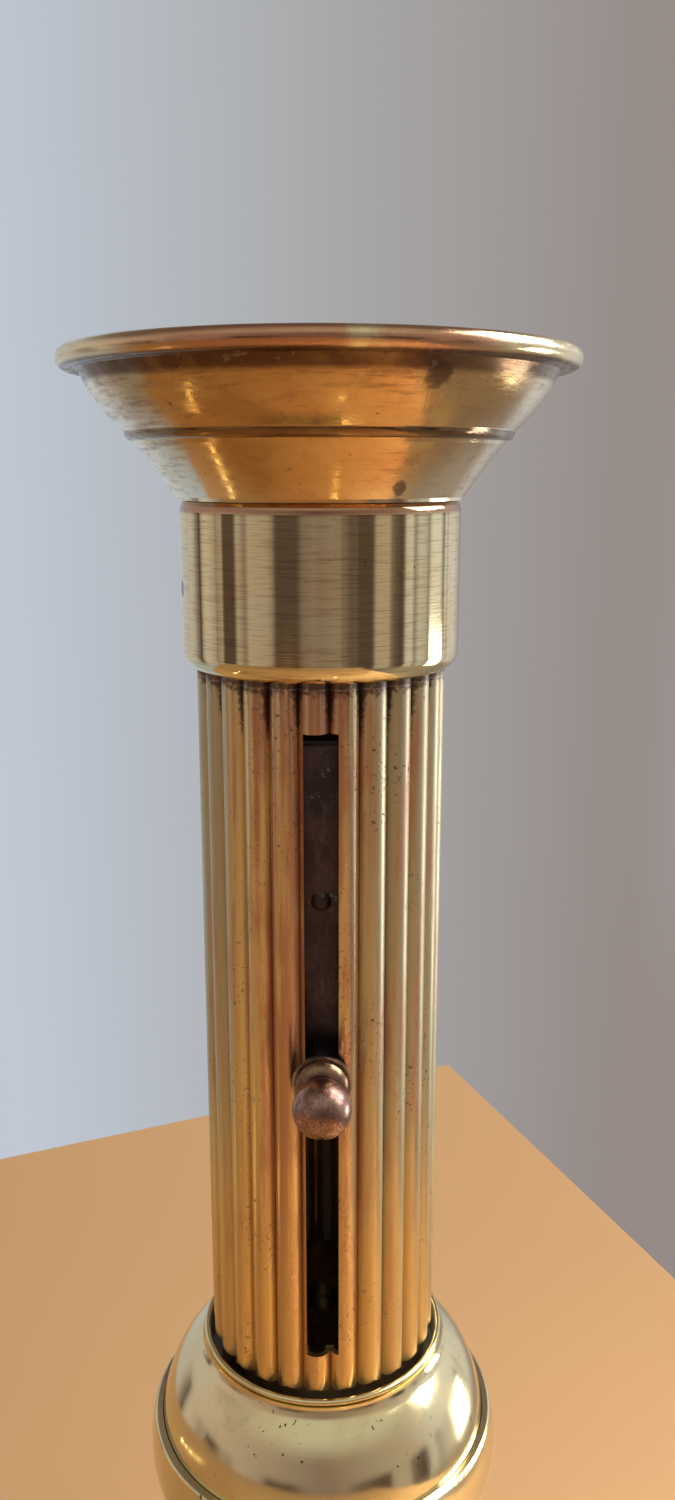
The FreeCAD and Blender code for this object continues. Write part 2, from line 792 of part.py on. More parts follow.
def make_spring_rivet(lantern):
    """Domed rivet that holds the strip to the socket."""
    seat = "rivet_seat_reach - rivet_tail_reach"
    dome_bend = "(rivet_head_radius ^ 2 + rivet_head_rise ^ 2) / (2 * rivet_head_rise)"
    rivet = lantern.turned("spring_rivet", ("0", "0"), [
        ("line", "rivet_shank_radius", "0"),
        ("line", "rivet_shank_radius", seat),
        ("line", "rivet_head_radius", seat),
        ("left", "0", f"{seat} + rivet_head_rise", dome_bend),
        ("line", "0", "0"),
    ])
    lantern.place(rivet, bottom="rivet_height", reach="rivet_tail_reach")
    lantern.keep(rivet, "spring_rivet")


def make_slider_stud(lantern):
    """Shouldered screw: head inside the socket, shoulder in the slot."""
    stud = lantern.turned("slider_stud", ("0", "0"), [
        ("line", "stud_head_radius", "0"),
        ("line", "stud_head_radius", "stud_head_rise"),
        ("line", "stud_radius", "stud_head_rise"),
        ("line", "stud_radius", "stud_shoulder_start"),
        ("line", "stud_shoulder_radius", "stud_shoulder_start"),
        ("line", "stud_shoulder_radius", "stud_shoulder_end"),
        ("line", "stud_radius", "stud_shoulder_end"),
        ("line", "stud_radius", "stud_length"),
        ("line", "0", "stud_length"),
        ("line", "0", "0"),
    ])
    lantern.place(stud, bottom="knob_height", reach="stud_tail_reach")
    lantern.keep(stud, "slider_stud")


def make_knob_washer(lantern):
    """Stepped and domed washer that rides on the reeds behind the knob."""
    washer = lantern.turned("knob_washer", ("stud_hole_radius", "0"), [
        ("line", "knob_washer_radius", "0"),
        ("line", "knob_washer_radius", "knob_washer_edge"),
        ("line", "knob_washer_step_radius", "knob_washer_edge"),
        ("line", "knob_washer_step_radius", "knob_washer_step_rise"),
        ("left", "knob_washer_top_radius", "knob_washer_top_rise", "knob_washer_bend"),
        ("line", "stud_hole_radius", "knob_washer_top_rise"),
        ("line", "stud_hole_radius", "0"),
    ])
    lantern.place(washer, bottom="knob_height", reach="knob_washer_reach")
    lantern.keep(washer, "knob_washer")


def make_knob(lantern):
    """Ball knob on a short neck, tapped for the stud."""
    join_rise = "knob_end_rise - knob_radius - sqrt(knob_radius ^ 2 - knob_join_radius ^ 2)"
    knob = lantern.turned("knob", ("stud_hole_radius", "0"), [
        ("line", "knob_neck_radius", "0"),
        ("line", "knob_neck_radius", "knob_neck_rise"),
        ("right", "knob_join_radius", join_rise, "knob_fillet"),
        ("left", "0", "knob_end_rise", "knob_radius"),
        ("line", "0", "knob_hole_rise"),
        ("line", "stud_hole_radius", "knob_hole_rise"),
        ("line", "stud_hole_radius", "0"),
    ])
    lantern.place(knob, bottom="knob_height", reach="knob_reach")
    lantern.keep(knob, "knob")


# ---- gallery


def make_collar_sleeve(lantern):
    """Plain sleeve over the column's top, curled in below and drawn in a little above."""
    shell = lantern.spun("collar", "collar_wall", ("collar_mouth_radius", "0"), [
        ("left", "collar_radius", "collar_curl_rise", "collar_curl_bend"),
        ("line", "collar_radius", "collar_shoulder_rise"),
        ("left", "collar_top_radius", "collar_height", "collar_shoulder_bend"),
    ])
    lantern.place(shell, bottom="collar_bottom")
    lantern.keep(shell, "collar_sleeve")


def make_gallery_ferrule(lantern):
    """Flanged bush that joins cup and sleeve and rests on the column's top."""
    ferrule = lantern.turned("gallery_ferrule", ("ferrule_bore", "0"), [
        ("line", "ferrule_flange_radius", "0"),
        ("line", "ferrule_flange_radius", "ferrule_flange_rise"),
        ("line", "ferrule_tube_radius", "ferrule_flange_rise"),
        ("line", "ferrule_tube_radius", "ferrule_roll_rise"),
        ("line", "ferrule_roll_radius", "ferrule_roll_rise"),
        ("left", "ferrule_tube_radius", "ferrule_height", "ferrule_roll_bend + sheet_wall"),
        ("line", "ferrule_bore", "ferrule_height"),
        ("line", "ferrule_bore", "0"),
    ])
    lantern.place(ferrule, bottom="ferrule_bottom")
    lantern.keep(ferrule, "gallery_ferrule")


def make_gallery_cup(lantern):
    """Stepped cup: trumpet flare, small bead, round bowl, and a rolled bead rim."""
    shell = lantern.spun("gallery", "sheet_wall", ("cup_hole_radius", "0"), [
        ("line", "cup_floor_radius", "0"),
        ("line", "cup_flare_start_radius", "cup_flare_start_rise"),
        ("right", "cup_flare_radius", "cup_flare_rise", "cup_flare_bend"),
        ("line", "cup_crease_radius", "cup_crease_rise"),
        ("left", "cup_bead_radius", "cup_bead_rise", "cup_bead_bend"),
        ("line", "cup_bowl_start_radius", "cup_bowl_start_rise"),
        ("left", "cup_bowl_radius", "cup_bowl_rise", "cup_bowl_bend"),
        ("line", "cup_flange_radius", "cup_flange_rise"),
    ])
    rim = lantern.bead("gallery_rim", "rim_centre", "rim_radius", "rim_height - cup_bottom")
    cup = lantern.joined(shell, rim, "Fuse", "gallery_joined")
    lantern.place(cup, bottom="cup_bottom")
    lantern.keep(cup, "gallery_cup")


def check(lantern):
    """Stop if any object failed, or any piece isn't one valid solid."""
    for thing in lantern.document.Objects:
        if "Invalid" in thing.State or "Error" in thing.State:
            raise RuntimeError(f"{thing.Name} failed: {thing.State}")
    for node in lantern.nodes:
        shape = node.Shape
        if shape.isNull() or not shape.isValid():
            raise RuntimeError(f"{node.Label} has no valid shape")
        if len(shape.Solids) != 1 or shape.Volume <= 0:
            raise RuntimeError(f"{node.Label} isn't one solid")


def write(lantern):
    """Write each piece to a file of its own name."""
    os.makedirs("parts", exist_ok=True)
    for node in lantern.nodes:
        node.Shape.exportStep(f"parts/{node.Label}.step")
        print(f"{node.Label:18s} {node.Shape.Volume:10.1f} mm3")


def main():
    lantern = Lantern()
    for make in (make_base_plate, make_foot_shell, make_foot_ballast, make_waist_ring,
                 make_bulb_shell, make_base_dome, make_column_cup, make_column_tube,
                 make_column_spigot, make_tie_rod, make_tie_washer, make_tie_nut,
                 make_candle_socket, make_socket_floor):
        make(lantern)
    make_guide_ring(lantern, "guide_ring_top", "guide_top_bottom", "guide_top_height")
    make_guide_ring(lantern, "guide_ring_bottom", "guide_low_bottom", "guide_low_height")
    for make in (make_friction_spring, make_spring_rivet, make_slider_stud, make_knob_washer,
                 make_knob, make_collar_sleeve, make_gallery_ferrule, make_gallery_cup):
        make(lantern)
    lantern.document.recompute()
    check(lantern)
    write(lantern)


main()
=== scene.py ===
import math

import bpy
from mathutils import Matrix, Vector


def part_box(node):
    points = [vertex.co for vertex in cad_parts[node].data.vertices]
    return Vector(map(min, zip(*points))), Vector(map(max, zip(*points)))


# Candle lantern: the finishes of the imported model's pieces, and a plain studio round it.
# Places are in metres, in the model's frame: +Z up, and the slot and the knob face -Y.
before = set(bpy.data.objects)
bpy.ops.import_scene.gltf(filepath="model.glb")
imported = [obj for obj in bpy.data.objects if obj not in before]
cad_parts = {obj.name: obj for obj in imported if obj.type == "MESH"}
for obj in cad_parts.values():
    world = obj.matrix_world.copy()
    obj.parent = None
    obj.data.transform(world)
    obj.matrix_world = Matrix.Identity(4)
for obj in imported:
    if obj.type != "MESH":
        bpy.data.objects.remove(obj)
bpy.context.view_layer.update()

MM = 0.001

# Camera, at the photograph's viewing angle.
CAMERA_PLACE = (0.0, -0.1551, 0.2064)
CAMERA_PITCH = 0.2296
CAMERA_YAW = 0.0143
CAMERA_LENS = 28.8
CAMERA_SENSOR = 36.0
CAMERA_NEAR = 0.01

# The floor is a plain square table top, turned so that one corner lies behind the object.
FLOOR_CORNER = (0.045, 0.235, 0.0)
FLOOR_TURN = math.radians(-68)
FLOOR_LENGTH = 0.95
FLOOR_THICKNESS = 0.02
FLOOR_LIGHT = (0.61, 0.37, 0.175)
FLOOR_DARK = (0.56, 0.32, 0.145)
FLOOR_PATCHES = 0.25
FLOOR_ROUGHNESS = 0.55

# The studio's plain walls, as (degrees round from the front towards +X, colour): a dim room
# in front, a window at the right, and behind a backdrop that runs from cool to warm.
COOL_BACKDROP = (0.53, 0.58, 0.66)
GREY_BACKDROP = (0.40, 0.40, 0.40)
WARM_BACKDROP = (0.30, 0.255, 0.24)
WALLS = (
    (-180, GREY_BACKDROP),
    (-165, COOL_BACKDROP),
    (-90, (0.62, 0.53, 0.49)),
    (0, (0.27, 0.20, 0.18)),
    (60, (0.52, 0.44, 0.39)),
    (90, (0.80, 0.80, 0.85)),
    (135, (0.80, 0.80, 0.85)),
    (165, WARM_BACKDROP),
)
# The low part of the walls, which is darker in front and at the right.
LOW_WALLS = (
    (-180, GREY_BACKDROP),
    (-165, COOL_BACKDROP),
    (0, (0.15, 0.12, 0.10)),
    (90, (0.40, 0.33, 0.27)),
    (165, WARM_BACKDROP),
)
ROOM_FLOOR = (0.55, 0.43, 0.30)
CEILING_BACK = (0.20, 0.16, 0.14)
CEILING_FRONT = (0.62, 0.60, 0.52)
# Where each gives way to the one above it, as the Z of a unit vector that points there.
LOW_WALLS_START = (-0.80, -0.72)
WALLS_START = (-0.45, -0.25)
CEILING_START = (0.33, 0.65)
# Where the front of the ceiling gives way to the back, as the Y of that vector.
CEILING_MIDDLE = (-0.6, 0.3)

# Dark uprights such as a studio's flags stand along the walls, except behind. They show in
# the metal, and the plain walls show behind the object. They stand where a noise that runs
# round the walls is low.
UPRIGHT_COLOUR = (0.10, 0.07, 0.06)
UPRIGHTS_PER_TURN = 13
UPRIGHT_START = 8.9
UPRIGHT_EDGE = (0.36, 0.58)
# Where they end, as the Z of the unit vector, and as the angle round from the front.
UPRIGHT_TOP = (-0.02, 0.08)
UPRIGHT_LAST = (math.radians(120), math.radians(140))

# A trail of small pools of light that the brass throws on the table, and one in front.
GLINT_TRAIL = ((-0.22, -0.04), (-0.17, 0.03))
GLINT_COUNT = 6
GLINT_FRONT = (0.03, -0.09)
GLINT_RISE = 0.003
GLINT_SIZE = (0.006, 0.0025)
GLINT_POWER = 0.0008
GLINT_SWING = math.radians(35)
GLINT_COLOUR = (1.0, 0.80, 0.36)

# Brass as clean metal, its tarnishes, and its painted reflections and shade, all as linear
# colours.
BRASS = (0.80, 0.66, 0.37)
CLEAN_BRASS = (0.90, 0.84, 0.66)
PALE_BRASS = (0.84, 0.76, 0.53)
GREEN_BRASS = (0.80, 0.72, 0.44)
# Painted reflection of the grey walls, at the column's sides.
OLIVE_WALL_REFLECTION = (0.50, 0.47, 0.33)
# Painted reflection of the warm table, low on the column.
GOLD_TABLE_REFLECTION = (0.76, 0.54, 0.22)
# Painted reflection of the warm table, on the front of the cup.
AMBER_TABLE_REFLECTION = (0.53, 0.31, 0.125)
HONEY_TABLE_REFLECTION = (0.58, 0.39, 0.17)
INNER_BRASS = (0.42, 0.30, 0.15)
INNER_TARNISH = (0.12, 0.07, 0.04)
COPPER_STAIN = (0.56, 0.29, 0.19)
BROWN_TARNISH = (0.22, 0.11, 0.06)
# Brown tarnish, and also painted shade under the cup's rim and along its bead.
UMBER_TARNISH_AND_SHADE = (0.11, 0.055, 0.035)
# Painted reflection of the cup's amber underside, on the collar's shoulder.
RED_SHOULDER_REFLECTION = (0.34, 0.15, 0.09)
# Grime, and also painted shade in the reeds' valleys and the collar's painted shadow.
PURPLE_GRIME_AND_SHADE = (0.075, 0.045, 0.045)
BLACK_GRIME = (0.035, 0.024, 0.022)
# Painted shade for the well round the column's foot.
WELL_SHADE_BLUE_GREY = (0.50, 0.53, 0.58)
BORE_DUST = (0.45, 0.40, 0.35)
RESIDUE = (0.42, 0.38, 0.33)

# Bronze, spring brass, steel and iron.
KNOB_LIGHT = (0.44, 0.27, 0.21)
KNOB_DARK = (0.22, 0.12, 0.10)
KNOB_FRECKLES = (0.09, 0.05, 0.045)
WASHER_LIGHT = (0.30, 0.19, 0.12)
WASHER_DARK = (0.13, 0.075, 0.05)
WASHER_WORN = (0.46, 0.48, 0.49)
SPRING_DARK = (0.055, 0.043, 0.050)
SPRING_LIGHT = (0.13, 0.10, 0.105)
SPRING_SCRATCHES = (0.22, 0.17, 0.14)
SPRING_GREEN = (0.16, 0.26, 0.22)
STEEL_LIGHT = (0.42, 0.41, 0.40)
STEEL_DARK = (0.20, 0.17, 0.14)
IRON_LIGHT = (0.10, 0.09, 0.085)
IRON_DARK = (0.05, 0.035, 0.028)

# Places on the object that the materials follow, from the frame's boxes.
WELL_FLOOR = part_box("column_cup")[0][2] + 0.1 * MM
WELL_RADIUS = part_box("column_cup")[1][0] - 0.85 * MM
COLUMN_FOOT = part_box("column_tube")[0][2]
COLUMN_RADIUS = -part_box("column_tube")[0][0]
VALLEY_RADIUS = COLUMN_RADIUS - 1.42 * MM
BORE_RADIUS = COLUMN_RADIUS - 2.2 * MM
COLLAR_FOOT, COLLAR_TOP = (corner[2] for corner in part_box("collar_sleeve"))
RESIDUE_HEIGHT = COLLAR_FOOT - 0.9 * MM
CUP_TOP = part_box("gallery_cup")[1][2]
BEAD_LOW = CUP_TOP - 10.7 * MM
BEAD_HIGH = CUP_TOP - 9.5 * MM
RIM_LOW = CUP_TOP - 2.35 * MM
RIM_EDGE = 0.4 * MM
KNOB_HEIGHT = sum(corner[2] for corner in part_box("knob")) / 2

# Single marks: each dark spot on the cup with its reach, and a nick in the collar.
GALLERY_SPOTS = (
    ((8.9 * MM, -16.7 * MM, 204.3 * MM), 2.0 * MM),
    ((12.2 * MM, -25.4 * MM, 216.2 * MM), 3.2 * MM),
)
NICK = (-17.2 * MM, -4.9 * MM, 192.0 * MM)
NICK_REACH = 1.7 * MM


class Nodes:
    """A node tree, with short calls for the nodes that the materials and the world share."""

    def __init__(self, tree):
        self.tree = tree

    def add(self, kind, settings=None, **inputs):
        """A node with its inputs set: a socket is linked, and anything else is a value."""
        made = self.tree.nodes.new(kind)
        for name, value in (settings or {}).items():
            setattr(made, name, value)
        for name, value in inputs.items():
            self.feed(made.inputs[name.replace("_", " ")], value)
        return made

    def feed(self, socket, value):
        """Links a socket to an input, or sets the input to a value."""
        if isinstance(value, bpy.types.NodeSocket):
            self.tree.links.new(value, socket)
        elif isinstance(value, tuple) and len(value) == 3 and socket.type == "RGBA":
            socket.default_value = (*value, 1.0)
        else:
            socket.default_value = value

    def math(self, operation, *values):
        """The result of one operation on sockets or numbers."""
        made = self.add("ShaderNodeMath", {"operation": operation})
        for socket, value in zip(made.inputs, values):
            self.feed(socket, value)
        return made.outputs["Value"]

    def ramp(self, value, low, high, out_low=0.0, out_high=1.0, soft=True):
        """A value taken from low..high to out_low..out_high, held at both ends."""
        made = self.add(
            "ShaderNodeMapRange",
            {"interpolation_type": "SMOOTHSTEP" if soft else "LINEAR"},
            Value=value,
            From_Min=low,
            From_Max=high,
            To_Min=out_low,
            To_Max=out_high,
        )
        return made.outputs["Result"]

    def blend(self, share, first, second):
        """The first colour where share is 0 and the second where it is 1."""
        made = self.add("ShaderNodeMix", {"data_type": "RGBA"}, Factor=share)
        self.feed(made.inputs[6], first)
        self.feed(made.inputs[7], second)
        return made.outputs[2]


class Material(Nodes):
    """One node-based material: a Principled shader and the texture nodes that feed it."""

    def __init__(self, name, metallic=1.0):
        self.made = bpy.data.materials.new(name)
        self.made.use_nodes = True
        super().__init__(self.made.node_tree)
        self.shader = self.tree.nodes["Principled BSDF"]
        self.shader.inputs["Metallic"].default_value = metallic
        self.where = self.add("ShaderNodeTexCoord").outputs["Object"]
        self.parts = self.add("ShaderNodeSeparateXYZ", Vector=self.where).outputs

    def stretched(self, across, along):
        """The place, scaled across the axis and along it, for textures that run one way."""
        scaled = self.add("ShaderNodeMapping", Vector=self.where)
        scaled.inputs["Scale"].default_value = (across, across, along)
        return scaled.outputs["Vector"]

    def noise(self, size, detail=3.0, roughness=0.55, place=None, distortion=0.0):
        """Noise from 0 to 1 whose blotches are about size metres across."""
        made = self.add(
            "ShaderNodeTexNoise",
            Vector=place or self.where,
            Scale=1.0 / size,
            Detail=detail,
            Roughness=roughness,
            Distortion=distortion,
        )
        return made.outputs["Fac"]

    def cells(self, size):
        """Distance to the nearest of scattered points, which lie about size metres apart."""
        made = self.add("ShaderNodeTexVoronoi", Vector=self.where, Scale=1.0 / size)
        return made.outputs["Distance"]

    def length(self, first, second):
        """The length of a flat vector that has these two parts."""
        flat = self.add("ShaderNodeCombineXYZ", X=first, Y=second).outputs["Vector"]
        made = self.add("ShaderNodeVectorMath", {"operation": "LENGTH"}, Vector=flat)
        return made.outputs["Value"]

    def radius(self):
        """The distance from the object's axis."""
        return self.length(self.parts["X"], self.parts["Y"])

    def nearness(self, place, reach):
        """1 at a place, falling to 0 at reach from it."""
        gap = self.add("ShaderNodeVectorMath", {"operation": "DISTANCE"}, Vector=self.where)
        gap.inputs[1].default_value = place
        return self.ramp(gap.outputs["Value"], 0.0, reach, 1.0, 0.0)

    def bump(self, height, depth, under=None):
        """Relief of up to depth metres, laid over the relief below it."""
        made = self.add("ShaderNodeBump", Height=height, Distance=depth, Strength=1.0)
        if under is not None:
            self.feed(made.inputs["Normal"], under)
        return made.outputs["Normal"]

    def finish(self, colour, roughness, normal=None):
        """Feeds the shader, and gives the finished material."""
        self.feed(self.shader.inputs["Base Color"], colour)
        self.feed(self.shader.inputs["Roughness"], roughness)
        if normal is not None:
            self.feed(self.shader.inputs["Normal"], normal)
        return self.made


def polished_brass():
    """The base: pale brass polished often, with smears, a few stains, fine pits and painted
    shade in the well.
    """
    skin = Material("polished_brass_aged_with_painted_shade")
    smears = skin.noise(9 * MM, detail=5.0, distortion=0.8)
    stains = skin.noise(16 * MM, detail=6.0, roughness=0.6, distortion=0.5)
    rubbed = skin.noise(0.5 * MM, detail=4.0, place=skin.stretched(0.05, 1.0))
    freckles = skin.noise(0.8 * MM, detail=2.0)
    patches = skin.noise(7 * MM, detail=3.0)
    colour = skin.blend(skin.ramp(smears, 0.35, 0.7), GREEN_BRASS, BRASS)
    colour = skin.blend(skin.ramp(stains, 0.54, 0.76, 0.0, 0.6), colour, BROWN_TARNISH)
    specks = skin.ramp(freckles, 0.66, 0.74)
    specks = skin.math("MULTIPLY", specks, skin.ramp(patches, 0.48, 0.60))
    colour = skin.blend(specks, colour, BLACK_GRIME)
    # The well between the column and the dome's lip holds painted shade: a flat blue-grey that
    # is not metal.
    well = skin.ramp(skin.radius(), WELL_RADIUS, WELL_RADIUS + 0.15 * MM, 1.0, 0.0)
    off_floor = skin.ramp(skin.parts["Z"], WELL_FLOOR, WELL_FLOOR + 0.4 * MM)
    well = skin.math("MULTIPLY", well, off_floor)
    colour = skin.blend(well, colour, WELL_SHADE_BLUE_GREY)
    skin.feed(skin.shader.inputs["Metallic"], skin.math("SUBTRACT", 1.0, well))
    rough = skin.ramp(smears, 0.3, 0.75, 0.08, 0.20)
    rough = skin.math("MULTIPLY_ADD", well, 0.5, rough)
    rough = skin.math("MULTIPLY_ADD", rubbed, 0.05, rough)
    relief = skin.bump(rubbed, 0.004 * MM)
    relief = skin.bump(stains, 0.05 * MM, relief)
    return skin.finish(colour, rough, relief)


def gallery_brass():
    """The cup: brass streaked round and round, amber at the front with a painted reflection of
    the table, and brown tarnish and painted shade under the rim.
    """
    skin = Material("gallery_brass_aged_with_painted_light")
    height = skin.parts["Z"]
    streaks = skin.noise(0.5 * MM, detail=6.0, roughness=0.7, place=skin.stretched(0.10, 1.0))
    blotches = skin.noise(11 * MM, detail=6.0, roughness=0.62, distortion=0.7)
    mottle = skin.noise(1.3 * MM, detail=5.0, roughness=0.7, place=skin.stretched(0.6, 1.0))
    grain = skin.noise(0.5 * MM, detail=4.0, place=skin.stretched(0.25, 1.0))
    freckles = skin.noise(0.6 * MM, detail=2.0)

    # The front is amber, a painted reflection of the warm table. The sides and the back are
    # cleaner.
    front = skin.ramp(skin.parts["Y"], -20 * MM, -10 * MM, 1.0, 0.0)
    amber = skin.blend(skin.ramp(blotches, 0.38, 0.66), HONEY_TABLE_REFLECTION, AMBER_TABLE_REFLECTION)
    clean = skin.blend(skin.ramp(blotches, 0.3, 0.7), CLEAN_BRASS, PALE_BRASS)
    colour = skin.blend(front, clean, amber)
    colour = skin.blend(skin.ramp(mottle, 0.50, 0.75, 0.0, 0.35), colour, BROWN_TARNISH)

    # Streaks, thicker towards the rim and on the left.
    toward_rim = skin.ramp(height, CUP_TOP - 9 * MM, CUP_TOP - 4 * MM, 0.0, 0.12)
    left = skin.ramp(skin.parts["X"], -20 * MM, -9 * MM, 0.10, 0.0)
    worn = skin.math("ADD", streaks, skin.math("MAXIMUM", toward_rim, left))
    worn = skin.math("MULTIPLY_ADD", blotches, 0.25, worn)
    colour = skin.blend(skin.ramp(worn, 0.66, 0.92, 0.0, 0.55), colour, BROWN_TARNISH)

    # A dark band under the rim: painted shade, the rim's shaded underside in reflection, with
    # some tarnish. A dark line along the bead: painted shade in its crease.
    under_rim = skin.ramp(height, RIM_LOW - 2.1 * MM, RIM_LOW - 1.2 * MM)
    below_rim = skin.ramp(height, RIM_LOW, RIM_LOW + RIM_EDGE, 1.0, 0.0)
    shade = skin.math("MULTIPLY", under_rim, below_rim)
    shade = skin.math("MULTIPLY", shade, skin.ramp(blotches, 0.25, 0.6, 0.62, 0.95))
    colour = skin.blend(shade, colour, UMBER_TARNISH_AND_SHADE)
    over_low = skin.ramp(height, BEAD_LOW, BEAD_LOW + 0.12 * MM)
    under_high = skin.ramp(height, BEAD_HIGH - 0.12 * MM, BEAD_HIGH, 1.0, 0.0)
    bead = skin.math("MULTIPLY", over_low, under_high)
    bead = skin.math("MULTIPLY", bead, skin.ramp(blotches, 0.3, 0.65, 0.9, 0.6))
    colour = skin.blend(bead, colour, UMBER_TARNISH_AND_SHADE)

    # Dark spots, fine specks, and pale dust in the band under the rim.
    for place, reach in GALLERY_SPOTS:
        spot = skin.math("MULTIPLY_ADD", mottle, 1.1, skin.nearness(place, reach))
        spot = skin.math("MULTIPLY_ADD", streaks, 0.6, spot)
        colour = skin.blend(skin.ramp(spot, 1.25, 1.55, 0.0, 0.75), colour, UMBER_TARNISH_AND_SHADE)
    specks = skin.ramp(freckles, 0.70, 0.76)
    specks = skin.math("MULTIPLY", specks, skin.ramp(mottle, 0.45, 0.6))
    colour = skin.blend(specks, colour, BLACK_GRIME)
    dust = skin.math("MULTIPLY", shade, skin.ramp(mottle, 0.60, 0.70, 0.0, 0.5))
    colour = skin.blend(dust, colour, RESIDUE)

    # The rim itself, coppery at the front.
    rim = skin.ramp(height, RIM_LOW, RIM_LOW + RIM_EDGE)
    rim_front = skin.ramp(skin.parts["Y"], -30 * MM, -20 * MM, 1.0, 0.0)
    rim_tint = skin.blend(skin.ramp(blotches, 0.30, 0.50), GREEN_BRASS, COPPER_STAIN)
    rim_tint = skin.blend(rim_front, GREEN_BRASS, rim_tint)
    colour = skin.blend(skin.math("MULTIPLY", rim, 0.75), colour, rim_tint)

    rough = skin.ramp(worn, 0.55, 0.9, 0.09, 0.30)
    relief = skin.bump(grain, 0.006 * MM)
    relief = skin.bump(streaks, 0.012 * MM, relief)
    relief = skin.bump(blotches, 0.06 * MM, relief)
    return skin.finish(colour, rough, relief)


def reeded_brass():
    """The column: pale on the crests, coppery beside the slot, brown tarnish and painted shade
    between the reeds.
    """
    skin = Material("reeded_brass_aged_with_painted_light")
    radius = skin.radius()
    height = skin.parts["Z"]
    streaks = skin.noise(1.3 * MM, detail=6.0, roughness=0.6, place=skin.stretched(1.0, 0.04))
    stains = skin.noise(5 * MM, detail=6.0, roughness=0.65, place=skin.stretched(1.0, 0.25))
    rub = skin.noise(0.35 * MM, detail=4.0, place=skin.stretched(1.0, 0.12))
    freckles = skin.noise(0.55 * MM, detail=3.0, roughness=0.6)
    gaps = skin.noise(6 * MM, detail=4.0, place=skin.stretched(1.0, 0.4))

    # Gold low down, a painted reflection of the warm table, and dull olive at the sides, a
    # painted reflection of the grey walls.
    left_side = skin.ramp(skin.parts["X"], -13 * MM, -10 * MM, 1.0, 0.0)
    side = skin.math("MAXIMUM", skin.ramp(skin.parts["X"], 2 * MM, 9 * MM), left_side)
    golden = skin.ramp(height, COLUMN_FOOT + 6 * MM, COLUMN_FOOT + 66 * MM)
    colour = skin.blend(golden, GOLD_TABLE_REFLECTION, BRASS)
    dull = skin.ramp(height, COLUMN_FOOT + 14 * MM, COLUMN_FOOT + 51 * MM, 0.15, 0.85)
    colour = skin.blend(skin.math("MULTIPLY", side, dull), colour, OLIVE_WALL_REFLECTION)

    # Copper stains, more of them where a thumb runs beside the slot, and fewer low down.
    off_slot = skin.math("ABSOLUTE", skin.math("ADD", skin.parts["X"], 2 * MM))
    handled = skin.ramp(off_slot, 3 * MM, 10 * MM, 0.14, 0.0)
    front = skin.ramp(skin.parts["Y"], -9 * MM, 0.0, 1.0, 0.0)
    copper = skin.math("MULTIPLY_ADD", streaks, 0.6, skin.math("MULTIPLY", stains, 0.5))
    copper = skin.math("MULTIPLY_ADD", handled, front, copper)
    stained = skin.ramp(height, COLUMN_FOOT + 12 * MM, COLUMN_FOOT + 41 * MM, 0.35, 0.85)
    copper = skin.math("MULTIPLY", skin.ramp(copper, 0.56, 0.72), stained)
    colour = skin.blend(copper, colour, COPPER_STAIN)

    # Brown tarnish between the reeds with painted shade in the valleys, and grime that thickens
    # towards the collar together with the collar's painted shadow.
    low = skin.ramp(radius, VALLEY_RADIUS, VALLEY_RADIUS + 0.5 * MM, 0.40, 0.0)
    valley = skin.math("MULTIPLY_ADD", streaks, 0.5, low)
    colour = skin.blend(skin.ramp(valley, 0.42, 0.80, 0.0, 0.6), colour, BROWN_TARNISH)
    # Under the collar: grime and the collar's painted shadow.
    under_collar = skin.ramp(height, COLLAR_FOOT - 11.9 * MM, COLLAR_FOOT - 1.9 * MM, 0.0, 0.40)
    at_collar = skin.ramp(height, COLLAR_FOOT - 2.5 * MM, COLLAR_FOOT - 0.3 * MM, 0.0, 0.24)
    between = skin.ramp(radius, VALLEY_RADIUS, VALLEY_RADIUS + 1.25 * MM, 0.32, 0.0)
    grime_and_shade = skin.math("MULTIPLY_ADD", stains, 0.4, skin.math("ADD", under_collar, at_collar))
    grime_and_shade = skin.math("MULTIPLY_ADD", freckles, 0.55, grime_and_shade)
    grime_and_shade = skin.math("ADD", grime_and_shade, between)
    colour = skin.blend(skin.ramp(grime_and_shade, 0.90, 1.12, 0.0, 0.85), colour, PURPLE_GRIME_AND_SHADE)

    # A line of polish residue round the column, just below the collar.
    off_line = skin.math("ABSOLUTE", skin.math("SUBTRACT", height, RESIDUE_HEIGHT))
    residue = skin.ramp(off_line, 0.05 * MM, 0.14 * MM, 1.0, 0.0)
    residue = skin.math("MULTIPLY", residue, skin.ramp(freckles, 0.4, 0.6, 0.2, 0.8))
    colour = skin.blend(residue, colour, RESIDUE)

    # Black specks in patches, and the dull bore.
    dark = skin.ramp(freckles, 0.58, 0.70, 0.0, 0.8)
    speckled = skin.math("MULTIPLY", dark, skin.ramp(gaps, 0.50, 0.62))
    colour = skin.blend(speckled, colour, BLACK_GRIME)
    inside = skin.ramp(radius, BORE_RADIUS + 0.05 * MM, BORE_RADIUS + 0.25 * MM, 1.0, 0.0)
    colour = skin.blend(inside, colour, BORE_DUST)
    skin.feed(skin.shader.inputs["Metallic"], skin.math("SUBTRACT", 1.0, inside))

    rough = skin.ramp(stains, 0.3, 0.8, 0.20, 0.36)
    rough = skin.math("MULTIPLY_ADD", between, 1.2, rough)
    rough = skin.math("MULTIPLY_ADD", side, 0.14, rough)
    rough = skin.math("MULTIPLY_ADD", inside, 0.4, rough)
    relief = skin.bump(rub, 0.008 * MM)
    relief = skin.bump(streaks, 0.03 * MM, relief)
    relief = skin.bump(skin.math("SUBTRACT", 1.0, speckled), 0.03 * MM, relief)
    return skin.finish(colour, rough, relief)


